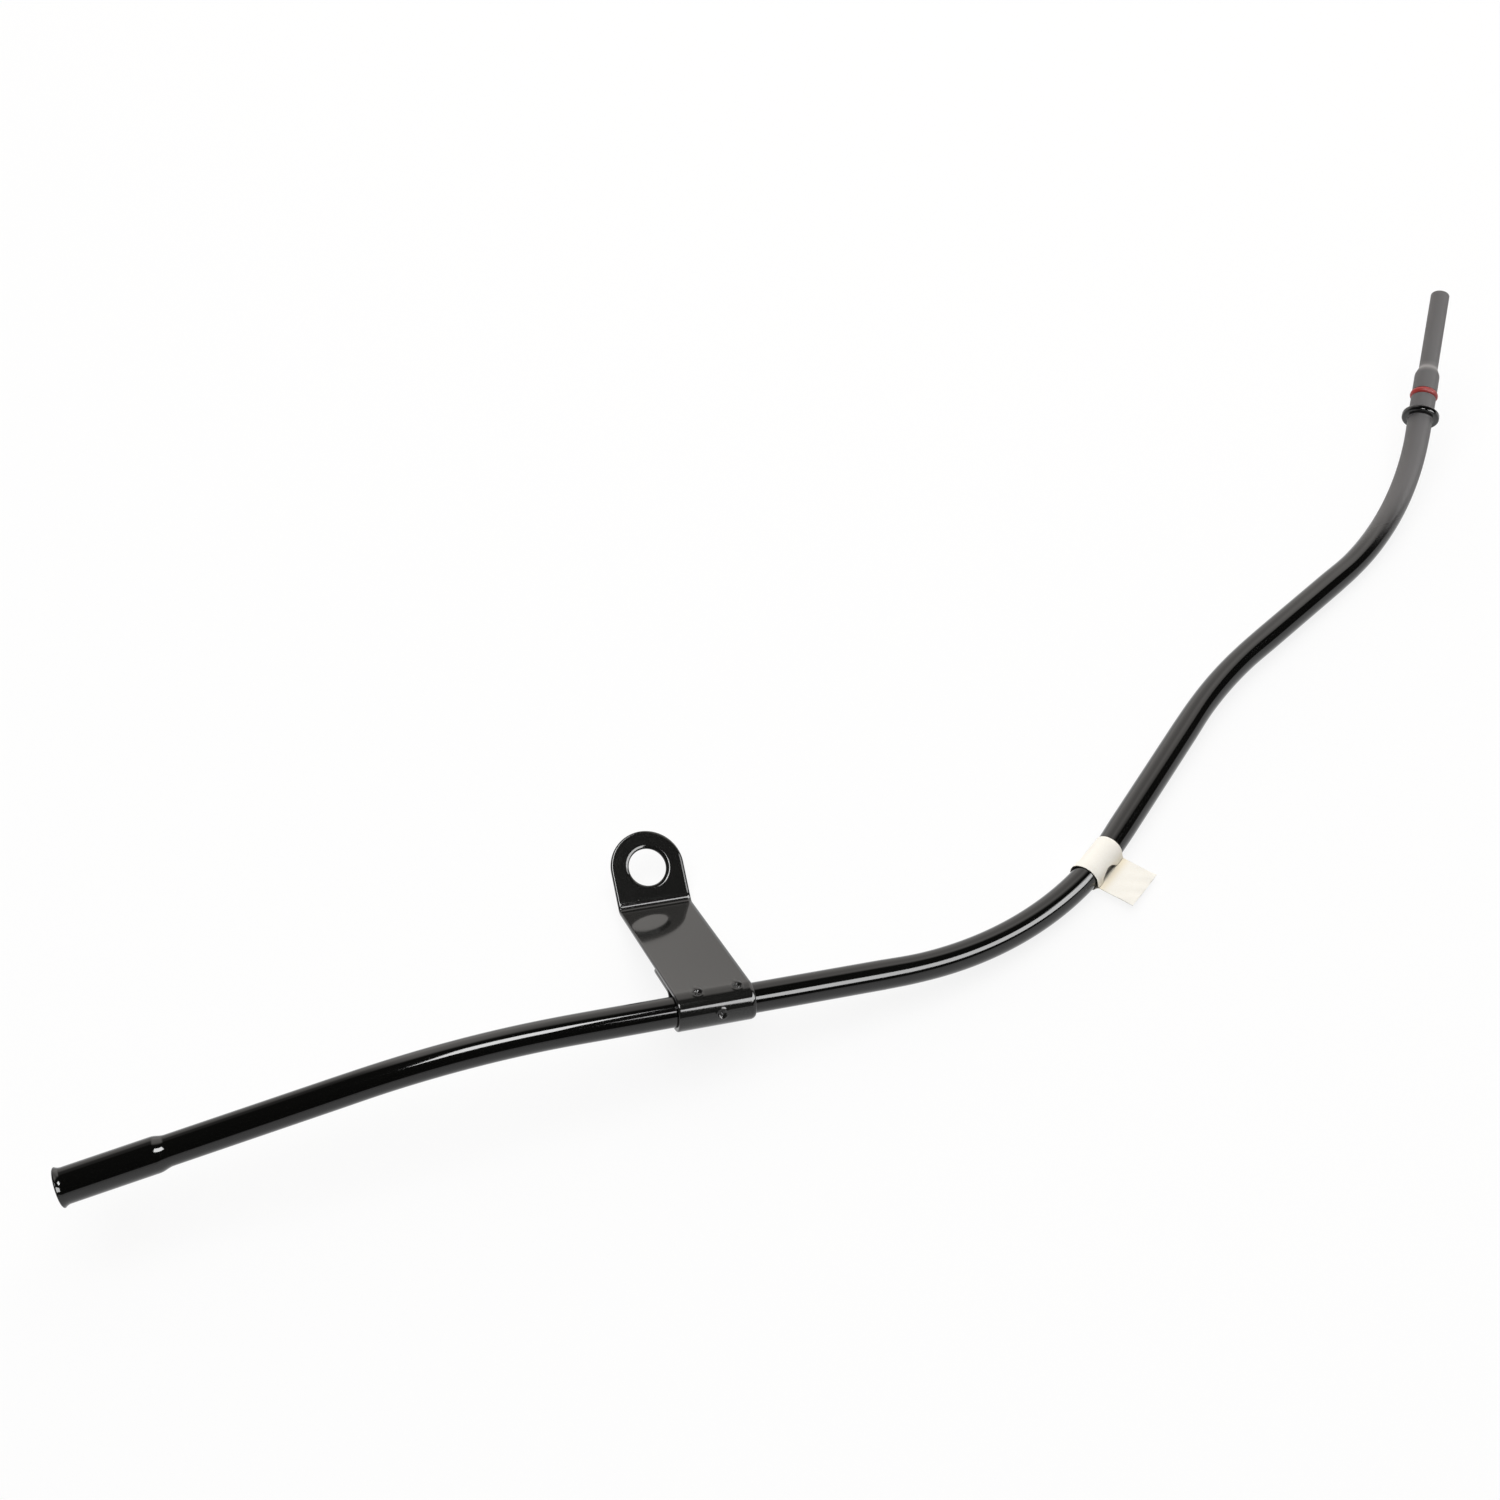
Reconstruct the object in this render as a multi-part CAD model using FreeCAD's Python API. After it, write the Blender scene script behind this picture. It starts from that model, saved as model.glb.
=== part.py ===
"""Oil dipstick tube: a bent steel tube, its clasped mounting bracket, O-ring and paper tag.

Millimetres and degrees. The part lies as it comes to rest, +Z up: the bracket's fold, the main
bend and the block-end bend touch the floor. The origin is the bottom centre of its box.
"""
import FreeCAD, Part
import math
import os

Vector = FreeCAD.Vector

# Tube stock
TUBE_OD = 9.5
TUBE_WALL = 0.9

# Runs from the mouth to the tip, between bend points: length, heading from +X, slope over the floor
MOUTH_RUN_LENGTH = 122.75
MOUTH_HEADING = 19.1
MOUTH_SLOPE_ANGLE = 3.3
BRACKET_RUN_LENGTH = 187.5
BRACKET_HEADING = 17.5
BRACKET_SLOPE_ANGLE = -8.88
MIDDLE_RUN_LENGTH = 137.0
MIDDLE_HEADING = 58.4
MIDDLE_SLOPE_ANGLE = 1.1
LOWER_RUN_LENGTH = 119.5
LOWER_HEADING = 45.9
LOWER_SLOPE_ANGLE = -1.43
BLOCK_RUN_LENGTH = 106.5
BLOCK_HEADING = 73.5
BLOCK_SLOPE_ANGLE = 19.7

# Bend radii on the tube's centreline
MOUTH_BEND_R = 310.0
MAIN_BEND_R = 130.0
LOWER_BEND_R = 200.0
BLOCK_BEND_R = 135.0

# Mouth that the dipstick's cap seats in: a swaged bell with a trumpet flare at its rim
BELL_OD = 11.0
BELL_LENGTH = 28.6
BELL_TAPER = 4.2
FLARE_OD = 12.5
FLARE_R = 3.0

# End that goes into the engine block, measured back from the tip
PILOT_OD = 7.2
PILOT_WALL = 0.8
PILOT_LENGTH = 35.4
PILOT_CHAMFER = 0.4
NECK_LENGTH = 4.4
RING_FROM_TIP = 48.5
RING_SECTION = 2.2
RING_FIT = 0.02
GROOVE_DEPTH = 1.67
GROOVE_WIDTH = 2.7
BEAD_FROM_TIP = 58.45
BEAD_OD = 14.2
BEAD_WIDTH = 2.6
BEAD_EDGE_R = 0.8

# Bracket: one folded strip, wrapped round the tube with its tail tucked under the web
STRIP_WIDTH = 24.7
STRIP_THICK = 1.5
CLASP_FROM_BEND = 111.5
CLASP_GAP = 0.05
WEB_SLOPE_ANGLE = -22.9
WEB_LENGTH = 62.1
FOLD_ANGLE = 53.5
FOLD_R = 1.5
EYE_REACH = 13.3
EYE_HOLE_D = 13.5
TAIL_LENGTH = 14.0
TAIL_BEND_R = 1.0
STAKE_D = 3.0
STAKE_DEPTH = 0.55
STAKE_PITCH = 12.6
STAKE_SHIFT = 1.2
TOP_STAKE_ANGLE = 103.0
FRONT_STAKE_ANGLE = 183.0

# Paper tag: a strip wrapped round the end of the main bend, its two ends stuck together as a flag
TAG_WIDTH = 15.9
TAG_FROM_BEND_END = 2.75
TAG_PAPER = 0.15
TAG_FIT = 0.02
TAG_REACH = 18.0
TAG_TANGENT_ANGLE = 38.0

TUBE_R = TUBE_OD / 2
BORE_R = TUBE_R - TUBE_WALL


def heading_vector(heading, slope):
    """Unit vector at a compass heading from +X and a slope above the floor."""
    level = math.cos(math.radians(slope))
    x = level * math.cos(math.radians(heading))
    y = level * math.sin(math.radians(heading))
    return Vector(x, y, math.sin(math.radians(slope)))


def polar(radius, angle):
    """Point of the drawing plane at a radius and an angle from its first axis."""
    return Vector(radius * math.cos(math.radians(angle)), radius * math.sin(math.radians(angle)), 0)


def line(start, end):
    return Part.LineSegment(start, end).toShape()


def arc(centre, radius, first, last):
    """Arc in the drawing plane, from one angle to another, in either sense."""
    middle = (first + last) / 2
    points = [centre + polar(radius, angle) for angle in (first, middle, last)]
    return Part.Arc(*points).toShape()


def face_of(*outlines):
    """Flat face between an outer outline and any holes, each a list of edges in order."""
    wires = [Part.Wire(edges) for edges in outlines]
    return Part.makeFace(wires, "Part::FaceMakerBullseye")


def place(shape, origin, x_axis, y_axis):
    """Move a shape from the drawing's axes to an origin and two square directions."""
    z_axis = x_axis.cross(y_axis)
    turn = FreeCAD.Rotation(x_axis, y_axis, z_axis, "ZXY")
    moved = shape.copy()
    moved.Placement = FreeCAD.Placement(origin, turn)
    return moved


def square_to(direction):
    """Two unit vectors square to a direction: level across it to the left, and up from it."""
    left = Vector(0, 0, 1).cross(direction).normalize()
    return left, direction.cross(left)


RUNS = [
    (MOUTH_RUN_LENGTH, heading_vector(MOUTH_HEADING, MOUTH_SLOPE_ANGLE)),
    (BRACKET_RUN_LENGTH, heading_vector(BRACKET_HEADING, BRACKET_SLOPE_ANGLE)),
    (MIDDLE_RUN_LENGTH, heading_vector(MIDDLE_HEADING, MIDDLE_SLOPE_ANGLE)),
    (LOWER_RUN_LENGTH, heading_vector(LOWER_HEADING, LOWER_SLOPE_ANGLE)),
    (BLOCK_RUN_LENGTH, heading_vector(BLOCK_HEADING, BLOCK_SLOPE_ANGLE)),
]
BEND_RADII = [MOUTH_BEND_R, MAIN_BEND_R, LOWER_BEND_R, BLOCK_BEND_R]
MAIN_BEND_INDEX = 1
CLASP_RUN_INDEX = 1


def bend_points():
    """Mouth, the points where neighbouring runs would meet, and tip."""
    points = [Vector(0, 0, 0)]
    for length, direction in RUNS:
        points.append(points[-1] + direction * length)
    return points


class Bend:
    """A circular bend between two runs: where it starts and ends, its centre, axis and turn."""

    def __init__(self, corner, before, after, radius):
        self.radius = radius
        self.turn = before.getAngle(after)
        self.axis = before.cross(after).normalize()
        self.tangent = radius * math.tan(self.turn / 2)
        self.start = corner - before * self.tangent
        self.end = corner + after * self.tangent
        self.centre = self.start + self.axis.cross(before) * radius
        self.before = before
        self.after = after

    def degrees(self, length):
        """Angle that a length of centreline takes up on this bend."""
        return math.degrees(length / self.radius)


POINTS = bend_points()
BENDS = [
    Bend(POINTS[i + 1], RUNS[i][1], RUNS[i + 1][1], radius) for i, radius in enumerate(BEND_RADII)
]


def s_curve(z_start, r_start, z_end, r_end):
    """Two equal arcs that step a turned profile from one radius to another, smooth at both ends."""
    middle = Vector((r_start + r_end) / 2, (z_start + z_end) / 2, 0)
    start = Vector(r_start, z_start, 0)
    end = Vector(r_end, z_end, 0)
    axial = Vector(0, z_end - z_start, 0).normalize()
    first = Part.Arc(start, quarter_point(start, middle, axial), middle)
    second = Part.Arc(middle, quarter_point(end, middle, axial * -1), end)
    return [first.toShape(), second.toShape()]


def quarter_point(start, end, tangent):
    """Point half-way along the arc that leaves start along a tangent and reaches end."""
    chord = end - start
    half_turn = tangent.getAngle(chord)
    bulge = tangent * chord.Length - chord * math.cos(half_turn)
    bulge.normalize()
    sagitta = chord.Length / 2 * math.tan(half_turn / 2)
    return start + chord / 2 + bulge * sagitta


def turned(outline, origin, axis):
    """Solid of revolution: an outline drawn as (radius, distance), turned about an axis."""
    left, _ = square_to(axis)
    solid = face_of(outline).revolve(Vector(0, 0, 0), Vector(0, 1, 0), 360)
    return place(solid, origin, left, axis)


def mouth_end(length):
    """Outline of the first run from its flared rim inwards, with the bell and its swaged taper."""
    bell_r = BELL_OD / 2
    bell_bore = bell_r - TUBE_WALL
    flare_centre_r = bell_r + FLARE_R
    lean = math.degrees(math.acos((flare_centre_r - FLARE_OD / 2) / FLARE_R))
    flare_start = (FLARE_R + TUBE_WALL) * math.sin(math.radians(lean))
    centre = Vector(flare_centre_r, flare_start, 0)
    outer_rim = centre + polar(FLARE_R, 180 + lean)
    inner_rim = centre + polar(FLARE_R + TUBE_WALL, 180 + lean)
    taper_end = BELL_LENGTH + BELL_TAPER
    edges = [line(outer_rim, inner_rim)]
    edges.append(arc(centre, FLARE_R + TUBE_WALL, 180 + lean, 180))
    edges.append(line(Vector(bell_bore, flare_start, 0), Vector(bell_bore, BELL_LENGTH, 0)))
    edges += s_curve(BELL_LENGTH, bell_bore, taper_end, BORE_R)
    edges.append(line(Vector(BORE_R, taper_end, 0), Vector(BORE_R, length, 0)))
    edges.append(line(Vector(BORE_R, length, 0), Vector(TUBE_R, length, 0)))
    edges.append(line(Vector(TUBE_R, length, 0), Vector(TUBE_R, taper_end, 0)))
    edges += s_curve(taper_end, TUBE_R, BELL_LENGTH, bell_r)
    edges.append(line(Vector(bell_r, BELL_LENGTH, 0), Vector(bell_r, flare_start, 0)))
    edges.append(arc(centre, FLARE_R, 180, 180 + lean))
    return edges


def block_end(length):
    """Outline of the last run from its tip inwards: pilot, neck, O-ring groove, bead and tube."""
    pilot_r = PILOT_OD / 2
    pilot_bore = pilot_r - PILOT_WALL
    groove_r = TUBE_R - GROOVE_DEPTH
    throat_r = groove_r - TUBE_WALL
    bead_r = BEAD_OD / 2
    bead_half = BEAD_WIDTH / 2
    neck_end = PILOT_LENGTH + NECK_LENGTH
    groove_start = RING_FROM_TIP - GROOVE_WIDTH / 2
    groove_end = RING_FROM_TIP + GROOVE_WIDTH / 2
    throat_start = groove_start - TUBE_WALL
    throat_end = groove_end + TUBE_WALL
    cone = BORE_R - throat_r
    bead_start = BEAD_FROM_TIP - bead_half
    bead_end = BEAD_FROM_TIP + bead_half
    chamfer_top = Vector(pilot_r, PILOT_CHAMFER, 0)
    chamfer_end = Vector(pilot_r - PILOT_CHAMFER, 0, 0)
    bead_shoulder_r = bead_r - BEAD_EDGE_R
    bead_near = Vector(bead_shoulder_r, bead_end - BEAD_EDGE_R, 0)
    bead_far = Vector(bead_shoulder_r, bead_start + BEAD_EDGE_R, 0)
    crown = [Vector(bead_r, bead_near.y, 0), Vector(bead_r, bead_far.y, 0)]
    inside = [
        Vector(pilot_bore, 0, 0),
        Vector(pilot_bore, PILOT_LENGTH, 0),
        Vector(BORE_R, neck_end, 0),
        Vector(BORE_R, throat_start - cone, 0),
        Vector(throat_r, throat_start, 0),
        Vector(throat_r, throat_end, 0),
        Vector(BORE_R, throat_end + cone, 0),
        Vector(BORE_R, length, 0),
        Vector(TUBE_R, length, 0),
        Vector(TUBE_R, bead_end, 0),
        Vector(bead_shoulder_r, bead_end, 0),
    ]
    outside = [
        Vector(bead_shoulder_r, bead_start, 0),
        Vector(TUBE_R, bead_start, 0),
        Vector(TUBE_R, groove_end, 0),
        Vector(groove_r, groove_end, 0),
        Vector(groove_r, groove_start, 0),
        Vector(TUBE_R, groove_start, 0),
        Vector(TUBE_R, neck_end, 0),
    ]
    edges = [line(a, b) for a, b in zip(inside, inside[1:])]
    edges.append(arc(bead_near, BEAD_EDGE_R, 90, 0))
    edges.append(line(*crown))
    edges.append(arc(bead_far, BEAD_EDGE_R, 0, -90))
    edges += [line(a, b) for a, b in zip(outside, outside[1:])]
    edges += s_curve(neck_end, TUBE_R, PILOT_LENGTH, pilot_r)
    edges.append(line(Vector(pilot_r, PILOT_LENGTH, 0), chamfer_top))
    edges.append(line(chamfer_top, chamfer_end))
    edges.append(line(chamfer_end, Vector(pilot_bore, 0, 0)))
    return edges


def tube_section(origin, direction):
    """Ring-shaped section of the plain tube, square to its direction."""
    ring = face_of([Part.makeCircle(TUBE_R)], [Part.makeCircle(BORE_R)])
    left, up = square_to(direction)
    return place(ring, origin, left, up)


def make_tube():
    first_straight = (BENDS[0].start - POINTS[0]).Length
    last_straight = (POINTS[-1] - BENDS[-1].end).Length
    pieces = [turned(mouth_end(first_straight), POINTS[0], RUNS[0][1])]
    for bend in BENDS:
        section = tube_section(bend.start, bend.before)
        pieces.append(section.revolve(bend.centre, bend.axis, math.degrees(bend.turn)))
    for bend, following in zip(BENDS, BENDS[1:]):
        straight = following.start - bend.end
        pieces.append(tube_section(bend.end, bend.after).extrude(straight))
    pieces.append(turned(block_end(last_straight), POINTS[-1], RUNS[-1][1] * -1))
    return pieces[0].fuse(pieces[1:]).removeSplitter()


def strip_profile():
    """Side view of the bracket: wrap round the tube at the origin, web along +X, folded-up eye."""
    inner = TUBE_R + CLASP_GAP
    outer = inner + STRIP_THICK
    tail_top = inner - CLASP_GAP
    leave = math.degrees(math.asin((tail_top - STRIP_THICK - TAIL_BEND_R) / (outer + TAIL_BEND_R)))
    tail_centre = polar(outer + TAIL_BEND_R, leave)
    tail_outer_r = TAIL_BEND_R + STRIP_THICK
    tail_end = tail_centre.x + TAIL_LENGTH
    origin = Vector(0, 0, 0)
    fold_start = WEB_LENGTH - FOLD_R * math.tan(math.radians(FOLD_ANGLE / 2))
    fold_centre = Vector(fold_start, outer + FOLD_R, 0)
    fold_end = FOLD_ANGLE - 90
    hole_top = Vector(WEB_LENGTH, outer, 0) + polar(EYE_REACH, FOLD_ANGLE)
    hole_under = hole_top + polar(STRIP_THICK, fold_end)
    eye_top = fold_centre + polar(FOLD_R, fold_end)
    eye_under = fold_centre + polar(FOLD_R + STRIP_THICK, fold_end)
    tail_under = tail_centre.y + TAIL_BEND_R
    edges = [line(Vector(0, outer, 0), Vector(fold_start, outer, 0))]
    edges.append(arc(fold_centre, FOLD_R, -90, fold_end))
    edges.append(line(eye_top, hole_top))
    edges.append(line(hole_top, hole_under))
    edges.append(line(hole_under, eye_under))
    edges.append(arc(fold_centre, FOLD_R + STRIP_THICK, fold_end, -90))
    edges.append(line(Vector(fold_start, inner, 0), Vector(0, inner, 0)))
    edges.append(arc(origin, inner, 90, 360 + leave))
    edges.append(arc(tail_centre, tail_outer_r, 180 + leave, 90))
    edges.append(line(Vector(tail_centre.x, tail_top, 0), Vector(tail_end, tail_top, 0)))
    edges.append(line(Vector(tail_end, tail_top, 0), Vector(tail_end, tail_under, 0)))
    edges.append(line(Vector(tail_end, tail_under, 0), Vector(tail_centre.x, tail_under, 0)))
    edges.append(arc(tail_centre, TAIL_BEND_R, 90, 180 + leave))
    edges.append(arc(origin, outer, 360 + leave, 90))
    return edges, hole_top


def stake_pit(angle, along):
    """Ball that leaves a punched pit in the outside of the wrap, locking the strip to the tube."""
    ball_r = (STAKE_D ** 2 / 4 + STAKE_DEPTH ** 2) / (2 * STAKE_DEPTH)
    surface = TUBE_R + CLASP_GAP + STRIP_THICK
    centre = polar(surface + ball_r - STAKE_DEPTH, angle) + Vector(0, 0, along)
    return Part.makeSphere(ball_r, centre)


def clasp_axes():
    """Centre of the clasp on the tube, the web's direction and the web's upper normal."""
    direction = RUNS[CLASP_RUN_INDEX][1]
    left, up = square_to(direction)
    slope = math.radians(WEB_SLOPE_ANGLE)
    web = left * math.cos(slope) + up * math.sin(slope)
    normal = up * math.cos(slope) - left * math.sin(slope)
    centre = POINTS[CLASP_RUN_INDEX + 1] - direction * CLASP_FROM_BEND
    return centre, web, normal


def make_bracket():
    profile, hole_top = strip_profile()
    half = STRIP_WIDTH / 2
    strip = face_of(profile).extrude(Vector(0, 0, STRIP_WIDTH))
    strip.translate(Vector(0, 0, -half))
    under = polar(1, FOLD_ANGLE - 90)
    eye = Part.makeCylinder(half, STRIP_THICK, hole_top, under)
    hole = Part.makeCylinder(EYE_HOLE_D / 2, STRIP_THICK * 3, hole_top - under * STRIP_THICK, under)
    pits = [stake_pit(FRONT_STAKE_ANGLE, STAKE_SHIFT)]
    for side in (-1, 1):
        pits.append(stake_pit(TOP_STAKE_ANGLE, STAKE_SHIFT + side * STAKE_PITCH / 2))
    bracket = strip.fuse(eye).removeSplitter().cut([hole] + pits)
    return place(bracket, *clasp_axes())


def make_o_ring():
    """O-ring stretched on to the floor of its groove."""
    middle_r = TUBE_R - GROOVE_DEPTH + RING_FIT + RING_SECTION / 2
    axis = RUNS[-1][1]
    centre = POINTS[-1] - axis * RING_FROM_TIP
    return Part.makeTorus(middle_r, RING_SECTION / 2, centre, axis)


def make_paper_tag():
    """Side view of the paper, a drop shape round the tube with its flag, carried along the bend's chord."""
    bend = BENDS[MAIN_BEND_INDEX]
    sag = TAG_WIDTH ** 2 / (8 * bend.radius)
    inner = TUBE_R + TAG_FIT + sag / 2
    outer = inner + TAG_PAPER
    tangent = TAG_TANGENT_ANGLE
    tip = Vector(inner / math.cos(math.radians(tangent)), 0, 0)
    leave = polar(outer, tangent)
    slope = math.tan(math.radians(90 - tangent))
    root = Vector(leave.x + (leave.y - TAG_PAPER) / slope, TAG_PAPER, 0)
    upper_end = Vector(TAG_REACH, TAG_PAPER, 0)
    lower_end = Vector(TAG_REACH, -TAG_PAPER, 0)
    lower_root = Vector(root.x, -root.y, 0)
    lower_leave = polar(outer, -tangent)
    origin = Vector(0, 0, 0)
    outline = [arc(origin, outer, tangent, 360 - tangent)]
    corners = [lower_leave, lower_root, lower_end, upper_end, root, leave]
    outline += [line(a, b) for a, b in zip(corners, corners[1:])]
    opening = [arc(origin, inner, tangent, 360 - tangent)]
    opening.append(line(polar(inner, -tangent), tip))
    opening.append(line(tip, polar(inner, tangent)))
    roll = face_of(outline, opening).extrude(Vector(0, 0, TAG_WIDTH))
    half_back = FreeCAD.Rotation(bend.axis, -bend.degrees(TAG_FROM_BEND_END + TAG_WIDTH / 2))
    outward = half_back.multVec(bend.end - bend.centre).normalize()
    along = bend.axis.cross(outward)
    end = bend.centre + outward * (bend.radius - sag / 2) + along * (TAG_WIDTH / 2)
    return place(roll, end, outward, bend.axis)


def main():
    nodes = {
        "tube": make_tube(),
        "bracket": make_bracket(),
        "o_ring": make_o_ring(),
        "paper_tag": make_paper_tag(),
    }
    box = Part.makeCompound(list(nodes.values())).optimalBoundingBox(False, False)
    to_origin = Vector(-box.Center.x, -box.Center.y, -box.ZMin)
    os.makedirs("parts", exist_ok=True)
    for name, shape in nodes.items():
        shape.translate(to_origin)
        shape.exportStep(f"parts/{name}.step")
        print(name, len(shape.Solids), "solid", shape.isValid(), round(shape.Volume, 1), "mm3")
    print("box", [round(size, 2) for size in (box.XLength, box.YLength, box.ZLength)])
    for name, point in (("mouth", POINTS[0]), ("main bend", POINTS[2]), ("tip", POINTS[-1])):
        print(name, [round(value, 2) for value in point + to_origin])


main()
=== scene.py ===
# %% [markdown]
# # Oil dipstick tube
# A bent steel tube that guides a dipstick into an engine, dipped in black enamel, with a folded
# bracket clasped round it, a red O-ring at the end that enters the block, and a blank paper tag.
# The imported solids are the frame. Every visible piece is then worked out again as a fine surface in
# the same place, because paint, rolled lips and creased paper need more points than the solids have.

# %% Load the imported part
import bmesh
import bpy
import numpy as np
from mathutils import Matrix


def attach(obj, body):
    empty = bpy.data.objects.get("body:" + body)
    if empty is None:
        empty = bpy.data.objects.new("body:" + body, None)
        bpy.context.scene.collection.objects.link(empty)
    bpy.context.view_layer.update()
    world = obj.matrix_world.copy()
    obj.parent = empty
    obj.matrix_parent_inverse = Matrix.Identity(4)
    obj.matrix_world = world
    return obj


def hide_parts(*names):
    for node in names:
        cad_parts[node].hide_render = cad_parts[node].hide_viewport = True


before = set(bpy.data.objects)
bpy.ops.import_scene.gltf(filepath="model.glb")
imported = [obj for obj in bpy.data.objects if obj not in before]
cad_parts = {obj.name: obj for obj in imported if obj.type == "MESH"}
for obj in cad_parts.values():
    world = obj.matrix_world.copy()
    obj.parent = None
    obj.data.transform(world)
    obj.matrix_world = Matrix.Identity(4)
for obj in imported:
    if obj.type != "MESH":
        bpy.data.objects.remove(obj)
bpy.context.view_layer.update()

# %% [markdown]
# ## The tube's centreline
# A tube bender works from a list of straight runs and bend radii, and so does this cell. A spline
# would be quicker to draw, but it never gives true circular bends. Each stretch is a straight or an
# arc, so a point on it follows from its distance along the tube. Two directions square to the tube
# are turned with each bend, so that a ring of points carried along never twists.

# %% Runs, bends and stretches
MM = 0.001
MERGE_MM = 0.002
MOUTH = np.array([-238.689, -195.031, 26.038])
RUN_LENGTHS = np.array([122.75, 187.5, 137.0, 119.5, 106.5])
RUN_HEADINGS = np.radians([19.1, 17.5, 58.4, 45.9, 73.5])
RUN_SLOPES = np.radians([3.3, -8.88, 1.1, -1.43, 19.7])
BEND_RADII = np.array([310.0, 130.0, 200.0, 135.0])

level = np.cos(RUN_SLOPES)
runs = np.stack([level * np.cos(RUN_HEADINGS), level * np.sin(RUN_HEADINGS), np.sin(RUN_SLOPES)], axis=1)
corners = np.vstack([MOUTH, MOUTH + np.cumsum(runs * RUN_LENGTHS[:, None], axis=0)])


def square_to(direction):
    """Two unit vectors square to a direction: level across it to the left, and up from it."""
    left = np.cross([0.0, 0.0, 1.0], direction)
    left /= np.linalg.norm(left)
    return left, np.cross(direction, left)


def turned(vectors, axes, angles):
    """Vectors turned about unit axes: v cos a + (axis x v) sin a + axis (axis . v) (1 - cos a)."""
    cosine = np.cos(angles)[:, None]
    sine = np.sin(angles)[:, None]
    along = axes * np.sum(axes * vectors, axis=1, keepdims=True)
    return vectors * cosine + np.cross(axes, vectors) * sine + along * (1 - cosine)


bend_turns = np.arccos(np.sum(runs[:-1] * runs[1:], axis=1))
bend_cuts = BEND_RADII * np.tan(bend_turns / 2)
bend_axes = np.cross(runs[:-1], runs[1:]) / np.sin(bend_turns)[:, None]
straights = RUN_LENGTHS - np.append(bend_cuts, 0) - np.insert(bend_cuts, 0, 0)
print("straights", straights.round(1).tolist(), "bends", np.degrees(bend_turns).round(1).tolist())

# %% Point and frame at any distance along the tube
stretch_lengths = np.zeros(9)
stretch_lengths[0::2] = straights
stretch_lengths[1::2] = BEND_RADII * bend_turns
stretch_ends = np.cumsum(stretch_lengths)
stretch_starts = stretch_ends - stretch_lengths
TUBE_LENGTH = stretch_ends[-1]
stretch_curves = np.zeros(9)
stretch_curves[1::2] = 1 / BEND_RADII
stretch_axes = np.tile([0.0, 0.0, 1.0], (9, 1))
stretch_axes[1::2] = bend_axes
stretch_points = np.repeat(corners[:-1], 2, axis=0)[:9]
stretch_points[2::2] = corners[1:-1] + runs[1:] * bend_cuts[:, None]
stretch_points[1::2] = corners[1:-1] - runs[:-1] * bend_cuts[:, None]
stretch_runs = np.repeat(runs, 2, axis=0)[:9]
stretch_lefts = np.tile(square_to(runs[0])[0], (9, 1))
for bend in range(4):
    after = turned(stretch_lefts[2 * bend][None], bend_axes[bend][None], bend_turns[bend][None])
    stretch_lefts[2 * bend + 2:] = after


def centreline(distance):
    """Point, left and up of the tube at each distance, and the bend there as inward unit / radius.

    On an arc of radius R about an axis, the point is centre + R turned by (distance from start) / R.
    """
    piece = np.clip(np.searchsorted(stretch_starts, distance, side="right") - 1, 0, 8)
    travel = distance - stretch_starts[piece]
    axis = stretch_axes[piece]
    curve = stretch_curves[piece]
    run = stretch_runs[piece]
    inward = np.cross(axis, run)
    radius = 1 / np.maximum(curve, 1e-9)
    on_arc = turned(-inward, axis, travel * curve) + inward
    bent = (curve > 0)[:, None]
    point = stretch_points[piece] + np.where(bent, on_arc * radius[:, None], run * travel[:, None])
    left = turned(stretch_lefts[piece], axis, travel * curve)
    forward = turned(run, axis, travel * curve)
    bow = turned(inward, axis, travel * curve) * curve[:, None]
    return point, left, np.cross(forward, left), bow


end_points = centreline(np.array([0.0, TUBE_LENGTH]))[0]
print("tube", round(TUBE_LENGTH, 1), "mm along, ends at", end_points.round(1).tolist())

# %% [markdown]
# ## From an array of points to a mesh
# Every piece below is a grid of points, so one helper joins neighbouring rows and columns with quads,
# and another makes the object. Grids that share an edge are merged there, which closes the seams.

# %% Grid faces and pieces
def grid_faces(rows, columns, closed_rows=False, closed_columns=False, first=0):
    """Quads between neighbours of a grid, whose last row or column may join the first."""
    index = np.arange(rows * columns).reshape(rows, columns) + first
    if closed_rows:
        index = np.vstack([index, index[:1]])
    if closed_columns:
        index = np.hstack([index, index[:, :1]])
    quads = np.stack([index[:-1, :-1], index[1:, :-1], index[1:, 1:], index[:-1, 1:]], axis=-1)
    return quads.reshape(-1, 4)


def add_piece(name, points, faces, node):
    """Mesh from millimetre points and quads, merged along shared edges, in place of a CAD node."""
    mesh = bpy.data.meshes.new(name)
    mesh.from_pydata((points * MM).tolist(), [], faces.tolist())
    work = bmesh.new()
    work.from_mesh(mesh)
    bmesh.ops.remove_doubles(work, verts=work.verts, dist=MERGE_MM * MM)
    bmesh.ops.recalc_face_normals(work, faces=work.faces)
    open_edges = sum(len(edge.link_faces) != 2 for edge in work.edges)
    work.to_mesh(mesh)
    work.free()
    mesh.shade_smooth()
    piece = bpy.data.objects.new(name, mesh)
    bpy.context.scene.collection.objects.link(piece)
    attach(piece, "root")
    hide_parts(node)
    box = np.round([points.min(axis=0), points.max(axis=0)], 2).tolist()
    print(name, len(mesh.polygons), "quads,", open_edges, "open edges, box", box)
    return piece


# %% [markdown]
# ## The tube's wall
# One drawn outline holds the whole wall: outside from the flared mouth to the tip, then back along
# the bore. Press tools leave every step with a small radius, so its corners are softened. The outline
# is carried round the centreline as distance and radius. A bender also flattens the tube a few
# percent across each bend, which a plain sweep would miss.

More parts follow.
